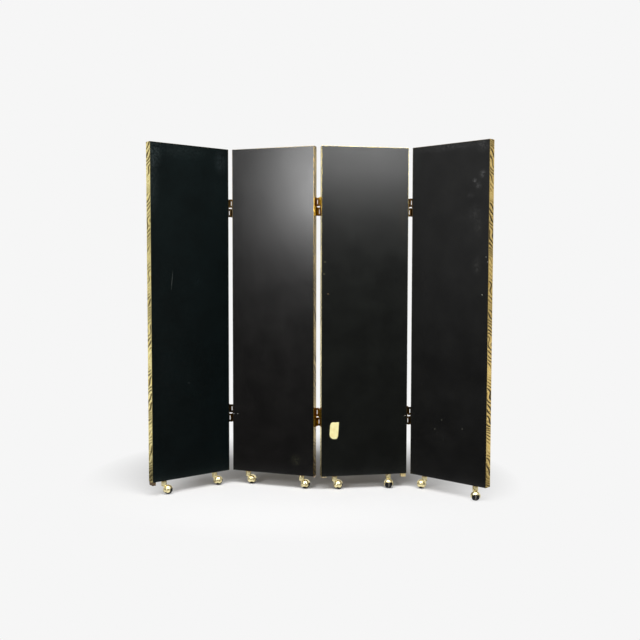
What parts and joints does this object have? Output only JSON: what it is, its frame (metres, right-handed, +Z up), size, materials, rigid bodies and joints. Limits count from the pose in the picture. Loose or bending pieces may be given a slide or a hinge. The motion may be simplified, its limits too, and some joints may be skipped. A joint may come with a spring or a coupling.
{
  "type": "folding screen",
  "caption": "Tall folding screen of flat panels in a W plan, black on one side and brass clad on the other, on crossed-link hinges and hooded ball casters.",
  "frame": {"origin": "on the floor, at the middle of the bounding box", "axes": "+Z up, -Y the black side that the panels turn to the viewer, +X to that viewer's right"},
  "size_m": [1.837, 0.4711, 1.908],
  "materials": {
    "core_wood": "sawn blockboard, hidden except at the bottom edge",
    "black_board": "board lacquered satin black, with light scuffs",
    "front_brass": null,
    "edge_brass": "brass strip with an etched grain, darker in its lines",
    "hinge_brass": "aged brass plate",
    "screw_brass": "turned brass",
    "caster_brass": "bright polished brass plate",
    "steel": "bright steel",
    "wheel_rubber": "smooth black rubber, dusty round the middle"
  },
  "bodies": {
    "panel_1": {"panel_1_core": "core_wood", "panel_1_back_board": "black_board", "panel_1_front_cladding": "front_brass", "panel_1_edge_strips": "edge_brass", "panel_1_caster_sockets": "steel", "panel_1_hinge_leaves": "hinge_brass", "panel_1_hinge_links": "hinge_brass", "panel_1_hinge_pins": "steel", "panel_1_hinge_screws": "screw_brass"},
    "panel_2": {"panel_2_core": "core_wood", "panel_2_back_board": "black_board", "panel_2_front_cladding": "front_brass", "panel_2_edge_strips": "edge_brass", "panel_2_caster_sockets": "steel", "panel_2_hinge_leaves": "hinge_brass", "panel_2_hinge_links": "hinge_brass", "panel_2_hinge_pins": "steel", "panel_2_hinge_screws": "screw_brass"},
    "panel_3": {"panel_3_core": "core_wood", "panel_3_back_board": "black_board", "panel_3_front_cladding": "front_brass", "panel_3_edge_strips": "edge_brass", "panel_3_caster_sockets": "steel", "panel_3_hinge_leaves": "hinge_brass", "panel_3_hinge_links": "hinge_brass", "panel_3_hinge_pins": "steel", "panel_3_hinge_screws": "screw_brass"},
    "panel_4": {"panel_4_core": "core_wood", "panel_4_back_board": "black_board", "panel_4_front_cladding": "front_brass", "panel_4_edge_strips": "edge_brass", "panel_4_caster_sockets": "steel", "panel_4_hinge_leaves": "hinge_brass", "panel_4_hinge_links": "hinge_brass", "panel_4_hinge_pins": "steel", "panel_4_hinge_screws": "screw_brass"},
    "caster_1_swivel": {"caster_1_hood": "caster_brass", "caster_1_stem_and_axle": "steel"},
    "caster_1_wheel": {"caster_1_wheel": "wheel_rubber"},
    "caster_2_swivel": {"caster_2_hood": "caster_brass", "caster_2_stem_and_axle": "steel"},
    "caster_2_wheel": {"caster_2_wheel": "wheel_rubber"},
    "caster_3_swivel": {"caster_3_hood": "caster_brass", "caster_3_stem_and_axle": "steel"},
    "caster_3_wheel": {"caster_3_wheel": "wheel_rubber"},
    "caster_4_swivel": {"caster_4_hood": "caster_brass", "caster_4_stem_and_axle": "steel"},
    "caster_4_wheel": {"caster_4_wheel": "wheel_rubber"},
    "caster_5_swivel": {"caster_5_hood": "caster_brass", "caster_5_stem_and_axle": "steel"},
    "caster_5_wheel": {"caster_5_wheel": "wheel_rubber"},
    "caster_6_swivel": {"caster_6_hood": "caster_brass", "caster_6_stem_and_axle": "steel"},
    "caster_6_wheel": {"caster_6_wheel": "wheel_rubber"},
    "caster_7_swivel": {"caster_7_hood": "caster_brass", "caster_7_stem_and_axle": "steel"},
    "caster_7_wheel": {"caster_7_wheel": "wheel_rubber"},
    "caster_8_swivel": {"caster_8_hood": "caster_brass", "caster_8_stem_and_axle": "steel"},
    "caster_8_wheel": {"caster_8_wheel": "wheel_rubber"}
  },
  "joints": [
    {"name": "fold_1_2", "type": "hinge", "parent": "panel_2", "child": "panel_1", "pos_m": [-0.4979, 0.18062, 0.993], "axis": [0, 0, 1], "range_deg": [-58.4, 121.6]},
    {"name": "fold_2_3", "type": "hinge", "parent": "panel_2", "child": "panel_3", "pos_m": [0.00202, 0.06182, 0.993], "axis": [0, 0, 1], "range_deg": [-29.5, 150.5]},
    {"name": "fold_3_4", "type": "hinge", "parent": "panel_3", "child": "panel_4", "pos_m": [0.51457, 0.09827, 0.993], "axis": [0, 0, -1], "range_deg": [-52.4, 127.6]},
    {"name": "caster_1_turn", "type": "hinge", "parent": "panel_1", "child": "caster_1_swivel", "pos_m": [-0.84246, -0.06366, 0.078], "axis": [0, 0, 1], "continuous": true},
    {"name": "caster_1_roll", "type": "hinge", "parent": "caster_1_swivel", "child": "caster_1_wheel", "pos_m": [-0.82058, -0.06136, 0.025], "axis": [-0.1045, 0.9945, 0], "continuous": true},
    {"name": "caster_2_turn", "type": "hinge", "parent": "panel_1", "child": "caster_2_swivel", "pos_m": [-0.58989, 0.14087, 0.078], "axis": [0, 0, 1], "continuous": true},
    {"name": "caster_2_roll", "type": "hinge", "parent": "caster_2_swivel", "child": "caster_2_wheel", "pos_m": [-0.57103, 0.1522, 0.025], "axis": [-0.515, 0.8572, 0], "continuous": true},
    {"name": "caster_3_turn", "type": "hinge", "parent": "panel_2", "child": "caster_3_swivel", "pos_m": [-0.39838, 0.1742, 0.078], "axis": [0, 0, 1], "continuous": true},
    {"name": "caster_3_roll", "type": "hinge", "parent": "caster_3_swivel", "child": "caster_3_wheel", "pos_m": [-0.37878, 0.18418, 0.025], "axis": [-0.454, 0.891, 0], "continuous": true},
    {"name": "caster_4_turn", "type": "hinge", "parent": "panel_2", "child": "caster_4_swivel", "pos_m": [-0.08995, 0.06558, 0.078], "axis": [0, 0, 1], "continuous": true},
    {"name": "caster_4_roll", "type": "hinge", "parent": "caster_4_swivel", "child": "caster_4_wheel", "pos_m": [-0.06822, 0.06902, 0.025], "axis": [-0.1564, 0.9877, 0], "continuous": true},
    {"name": "caster_5_turn", "type": "hinge", "parent": "panel_3", "child": "caster_5_swivel", "pos_m": [0.09487, 0.05093, 0.078], "axis": [0, 0, 1], "continuous": true},
    {"name": "caster_5_roll", "type": "hinge", "parent": "caster_5_swivel", "child": "caster_5_wheel", "pos_m": [0.11541, 0.05881, 0.025], "axis": [-0.3584, 0.9336, 0], "continuous": true},
    {"name": "caster_6_turn", "type": "hinge", "parent": "panel_3", "child": "caster_6_swivel", "pos_m": [0.40105, 0.10547, 0.078], "axis": [0, 0, 1], "continuous": true},
    {"name": "caster_6_roll", "type": "hinge", "parent": "caster_6_swivel", "child": "caster_6_wheel", "pos_m": [0.40143, 0.08347, 0.025], "axis": [0.9998, 0.0175, 0], "continuous": true},
    {"name": "caster_7_turn", "type": "hinge", "parent": "panel_4", "child": "caster_7_swivel", "pos_m": [0.60153, 0.05565, 0.078], "axis": [0, 0, 1], "continuous": true},
    {"name": "caster_7_roll", "type": "hinge", "parent": "caster_7_swivel", "child": "caster_7_wheel", "pos_m": [0.58681, 0.072, 0.025], "axis": [-0.7431, -0.6691, 0], "continuous": true},
    {"name": "caster_8_turn", "type": "hinge", "parent": "panel_4", "child": "caster_8_swivel", "pos_m": [0.84635, -0.16712, 0.078], "axis": [0, 0, 1], "continuous": true},
    {"name": "caster_8_roll", "type": "hinge", "parent": "caster_8_swivel", "child": "caster_8_wheel", "pos_m": [0.84405, -0.189, 0.025], "axis": [0.9945, -0.1045, 0], "continuous": true}
  ]
}
